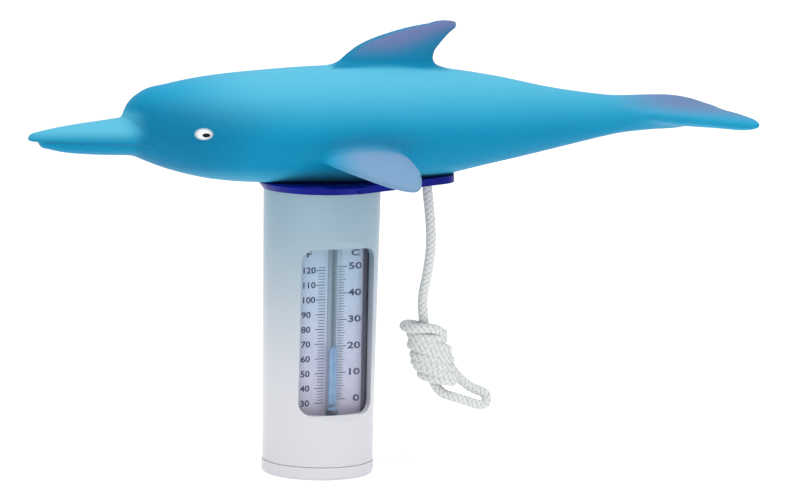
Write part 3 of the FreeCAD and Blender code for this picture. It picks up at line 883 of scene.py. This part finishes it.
def eye_white_finish():
    """White with painted shade that darkens it towards its rim."""
    white = linear(226, 230, 233)
    finish = moulded("eye_white", white, 0.3, Coat_Weight=0.2)
    rim = finish.span(finish.attribute("rim"), 0.55, 1.0, 0.0, 0.9)
    # painted shade at the rim of the raised eye
    finish.paint(finish.mix(rim, white, linear(96, 128, 148)))
    return finish


# Name, step from the eye's middle, half sizes, lift of the rim, height of the dome, finish.
EYE_LAYERS = (
    ("eye_white", (0.0, 0.0), (3.0, 1.95), -0.05, 0.42, eye_white_finish()),
    ("eye_pupil", (0.75, -0.3), (1.2, 0.62), 0.36, 0.1,
     moulded("eye_black", linear(4, 4, 5), 0.35, Specular_IOR_Level=0.2)),
)


def make_eye(name, side, middle, half_sizes, lift, dome, finish):
    """Domed oval patch that follows the head, at side 1 for +Y or -1 for -Y."""
    tree = BVHTree.FromObject(dolphin, bpy.context.evaluated_depsgraph_get())
    points = []
    rims = []
    for ring in range(EYE_RINGS + 1):
        share = ring / EYE_RINGS
        for step in range(EYE_SIDES if ring else 1):
            turn = 2 * math.pi * step / EYE_SIDES
            x = middle[0] + half_sizes[0] * share * math.cos(turn)
            z = middle[1] + half_sizes[1] * share * math.sin(turn)
            start = Vector((x, side * RAY_START, z)) * MM
            place, normal, _, _ = tree.ray_cast(start, Vector((0, -side, 0)))
            height = lift + dome * math.sqrt(max(0.0, 1 - share ** 2))
            points.append(place + normal * height * MM)
            rims.append(share)
    faces = [(0, 1 + step, 1 + (step + 1) % EYE_SIDES) for step in range(EYE_SIDES)]
    faces += ring_faces(EYE_RINGS, EYE_SIDES, first=1)
    if side > 0:
        faces = [face[::-1] for face in faces]
    eye = mesh_object(name, points, faces)
    point_attribute(eye, "rim", rims)
    eye.data.materials.append(finish.material)
    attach(eye, "head")


for side_name, side in (("near", -1), ("far", 1)):
    for layer, (step_x, step_z), *shape_and_finish in EYE_LAYERS:
        make_eye(layer + "_" + side_name, side, (EYE_X + step_x, EYE_Z + step_z), *shape_and_finish)


# ---------------------------------------------------------------- scale print
WINDOW_TURN = math.radians(8.0)
CARD_FRONT = 8.7           # distance of the card's front from the tube's axis
PRINT_PROUD = 0.04
DEGREE_PITCH = 0.85
ZERO_Z = 24.4
FAHRENHEIT_ZERO = 32.0
PER_CELSIUS = 1.8

# Degree marks, across from the card's middle.
MARK_INNER = 2.2
CELSIUS_LONG = 5.4
CELSIUS_MIDDLE = 4.9
CELSIUS_SHORT = 4.4
FAHRENHEIT_LONG = 5.3
FAHRENHEIT_SHORT = 4.5
LONG_MARK_HALF = 0.13      # half thickness
SHORT_MARK_HALF = 0.09

# Figures, across from the card's middle to their right edges, with their size and stretch.
CELSIUS_FIGURES = {"right": 10.4, "size": 2.9, "stretch": 1.6}
FAHRENHEIT_FIGURES = {"right": -7.0, "size": 2.7, "stretch": 1.2}
FAHRENHEIT_HUNDREDS = {"right": -5.5, "size": 2.7, "stretch": 1.2}
CELSIUS_HEAD = {"right": 9.6, "size": 2.7, "stretch": 1.6}
FAHRENHEIT_HEAD = {"right": -7.0, "size": 2.7, "stretch": 1.5}
HEAD_RISE = 4.2            # above the mark of 50 degrees Celsius
FIGURE_BOLD = 0.07         # how far a figure's outline is pushed out

ink = Finish("scale_ink", linear(46, 62, 96), 0.5)
ink.paint(ink.mottled(500.0, 0.8, 1.2))


def card_point(across, height, proud=PRINT_PROUD):
    """Place on the card's front, across from its middle and at a height, in metres."""
    reach = CARD_FRONT + proud
    return Vector((across * math.cos(WINDOW_TURN) + reach * math.sin(WINDOW_TURN),
                   across * math.sin(WINDOW_TURN) - reach * math.cos(WINDOW_TURN), height)) * MM


def add_mark(points, faces, left, right, height, half_thickness):
    """Thin block from left to right at a height, which stands just proud of the card."""
    first = len(points)
    for proud in (0.0, PRINT_PROUD):
        for across, up in ((left, -1), (right, -1), (right, 1), (left, 1)):
            points.append(card_point(across, height + up * half_thickness, proud))
    for face in ((4, 5, 6, 7), (3, 2, 1, 0), (0, 1, 5, 4), (1, 2, 6, 5), (2, 3, 7, 6), (3, 0, 4, 7)):
        faces.append(tuple(first + i for i in face))


def celsius_height(degrees):
    return ZERO_Z + degrees * DEGREE_PITCH


def fahrenheit_height(degrees):
    return celsius_height((degrees - FAHRENHEIT_ZERO) / PER_CELSIUS)


def finish_print(piece):
    piece.data.materials.append(ink.material)
    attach(piece, "housing")


def make_ticks():
    """The degree marks of both scales, as one piece."""
    points, faces = [], []
    for degrees in range(0, 51):
        long = degrees % 10 == 0
        short = CELSIUS_SHORT if degrees % 5 else CELSIUS_MIDDLE
        add_mark(points, faces, MARK_INNER, CELSIUS_LONG if long else short,
                 celsius_height(degrees), LONG_MARK_HALF if long else SHORT_MARK_HALF)
    for degrees in range(30, 123, 2):
        long = degrees % 10 == 0
        add_mark(points, faces, -FAHRENHEIT_LONG if long else -FAHRENHEIT_SHORT, -MARK_INNER,
                 fahrenheit_height(degrees), LONG_MARK_HALF if long else SHORT_MARK_HALF)
    ticks = mesh_object("scale_ticks", points, faces, smooth=False)
    finish_print(ticks)


def make_number(name, text, height, right, size, stretch):
    """Figures in one line, drawn from the right and stretched sideways."""
    font = bpy.data.curves.new(name, "FONT")
    font.body = text
    font.size = size
    font.extrude = PRINT_PROUD / 2
    font.offset = FIGURE_BOLD
    font.align_x = "RIGHT"
    font.align_y = "CENTER"
    font.resolution_u = 3
    holder = bpy.data.objects.new(name, font)
    bpy.context.scene.collection.objects.link(holder)
    bpy.context.view_layer.update()
    mesh = bpy.data.meshes.new_from_object(holder)
    bpy.data.objects.remove(holder)
    for vertex in mesh.vertices:
        across = right + vertex.co.x * stretch
        vertex.co = card_point(across, height + vertex.co.y, PRINT_PROUD / 2 + vertex.co.z)
    number = bpy.data.objects.new(name, mesh)
    bpy.context.scene.collection.objects.link(number)
    finish_print(number)


def make_print():
    make_ticks()
    for degrees in range(0, 60, 10):
        make_number("celsius_%d" % degrees, str(degrees), celsius_height(degrees),
                    **CELSIUS_FIGURES)
    for degrees in range(30, 130, 10):
        figures = FAHRENHEIT_HUNDREDS if degrees >= 100 else FAHRENHEIT_FIGURES
        make_number("fahrenheit_%d" % degrees, str(degrees), fahrenheit_height(degrees), **figures)
    header = celsius_height(50) + HEAD_RISE
    make_number("celsius_head", "C", header, **CELSIUS_HEAD)
    make_number("fahrenheit_head", "F", header, **FAHRENHEIT_HEAD)


make_print()


# ---------------------------------------------------------------- spirit thread
THREAD_HALF_WIDTH = 1.45   # the stem's glass magnifies the thread sideways
THREAD_HALF_DEPTH = 0.7
THREAD_SIDES = 24
THREAD_LEVELS = 24
THREAD_SHOULDER = 0.97     # share of its height where its top starts to close in
THREAD_CLOSING = 0.5       # share by which it is narrower at its very top


def thread_point(middle, across, depth, height):
    """Place in the thread, across and into the window's view from its middle, in metres."""
    cos, sin = math.cos(WINDOW_TURN), math.sin(WINDOW_TURN)
    return Vector((middle[0] + across * cos - depth * sin,
                   middle[1] + across * sin + depth * cos, height)) * MM


def make_thread():
    low, high = column_low[2], column_high[2]
    middle = (column_low + column_high) / 2
    points = []
    for level in range(THREAD_LEVELS + 1):
        share = level / THREAD_LEVELS
        close = 1 - THREAD_CLOSING * smoothstep(THREAD_SHOULDER, 1.0, share)
        for side in range(THREAD_SIDES):
            turn = 2 * math.pi * side / THREAD_SIDES
            across = THREAD_HALF_WIDTH * close * math.cos(turn)
            depth = THREAD_HALF_DEPTH * close * math.sin(turn)
            points.append(thread_point(middle, across, depth, low + share * (high - low)))
    faces = [tuple(reversed(range(THREAD_SIDES))),
             tuple(THREAD_LEVELS * THREAD_SIDES + side for side in range(THREAD_SIDES))]
    faces += [face[::-1] for face in ring_faces(THREAD_LEVELS + 1, THREAD_SIDES)]
    thread = mesh_object("spirit_thread", points, faces)
    give_finish(thread, "spirit_blue")
    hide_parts("spirit_column")
    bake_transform(thread)


make_thread()


# ---------------------------------------------------------------- stage and light
FLOOR_REACH = 12.0         # metres
FLOOR_GLOW = 0.32          # keeps the floor as white as the surround
DOME_LOW = 0.36            # strength of the dome's light at the horizon
DOME_HIGH = 1.15           # and overhead


def add_stage():
    """Pale floor far beyond the view, under a white surround."""
    reach = FLOOR_REACH
    floor = mesh_object("floor", [(-reach, -reach, 0), (reach, -reach, 0), (reach, reach, 0),
                                  (-reach, reach, 0)], [(0, 1, 2, 3)], smooth=False)
    paper = Finish("floor_paper", (0.85, 0.85, 0.86, 1.0), 0.9, Specular_IOR_Level=0.05,
                   Emission_Color=(1.0, 1.0, 1.0, 1.0), Emission_Strength=FLOOR_GLOW)
    paper.paint(paper.mottled(2.0, 0.99, 1.01))
    floor.data.materials.append(paper.material)


def add_softbox(name, place, aim, size, power):
    """Rectangular light at a place, turned towards its aim."""
    light = bpy.data.lights.new(name, "AREA")
    light.shape = "RECTANGLE"
    light.size, light.size_y = size
    light.energy = power
    softbox = bpy.data.objects.new(name, light)
    direction = Vector(aim) - Vector(place)
    softbox.location = place
    softbox.rotation_euler = direction.to_track_quat("-Z", "Y").to_euler()
    bpy.context.scene.collection.objects.link(softbox)


def add_light():
    """A dome that is brighter overhead, seen as plain white by the camera, and three softboxes."""
    world = bpy.data.worlds.new("surround")
    bpy.context.scene.world = world
    world.use_nodes = True
    nodes, links = world.node_tree.nodes, world.node_tree.links
    seen = nodes["Background"]
    seen.inputs["Color"].default_value = (1.0, 1.0, 1.0, 1.0)
    dome = nodes.new("ShaderNodeBackground")
    dome.inputs["Color"].default_value = (1.0, 1.0, 1.0, 1.0)
    height = nodes.new("ShaderNodeSeparateXYZ")
    links.new(nodes.new("ShaderNodeTexCoord").outputs["Generated"], height.inputs["Vector"])
    glow = nodes.new("ShaderNodeMapRange")
    for key, number in (("From Min", 0.0), ("From Max", 1.0), ("To Min", DOME_LOW),
                        ("To Max", DOME_HIGH)):
        glow.inputs[key].default_value = number
    links.new(height.outputs["Z"], glow.inputs["Value"])
    links.new(glow.outputs["Result"], dome.inputs["Strength"])
    choice = nodes.new("ShaderNodeMixShader")
    links.new(nodes.new("ShaderNodeLightPath").outputs["Is Camera Ray"], choice.inputs["Fac"])
    links.new(dome.outputs["Background"], choice.inputs[1])
    links.new(seen.outputs["Background"], choice.inputs[2])
    links.new(choice.outputs["Shader"], nodes["World Output"].inputs["Surface"])
    add_softbox("top_light", (-0.1, -0.25, 1.3), (0.02, 0.0, 0.1), (1.2, 0.9), 8.0)
    add_softbox("left_light", (-1.1, -0.8, 0.7), (0.0, 0.0, 0.08), (0.6, 0.8), 1.5)
    add_softbox("right_light", (1.2, -0.9, 0.35), (0.0, 0.0, 0.05), (0.5, 0.9), 2.0)


add_stage()
add_light()
bpy.context.scene.view_settings.view_transform = "Standard"
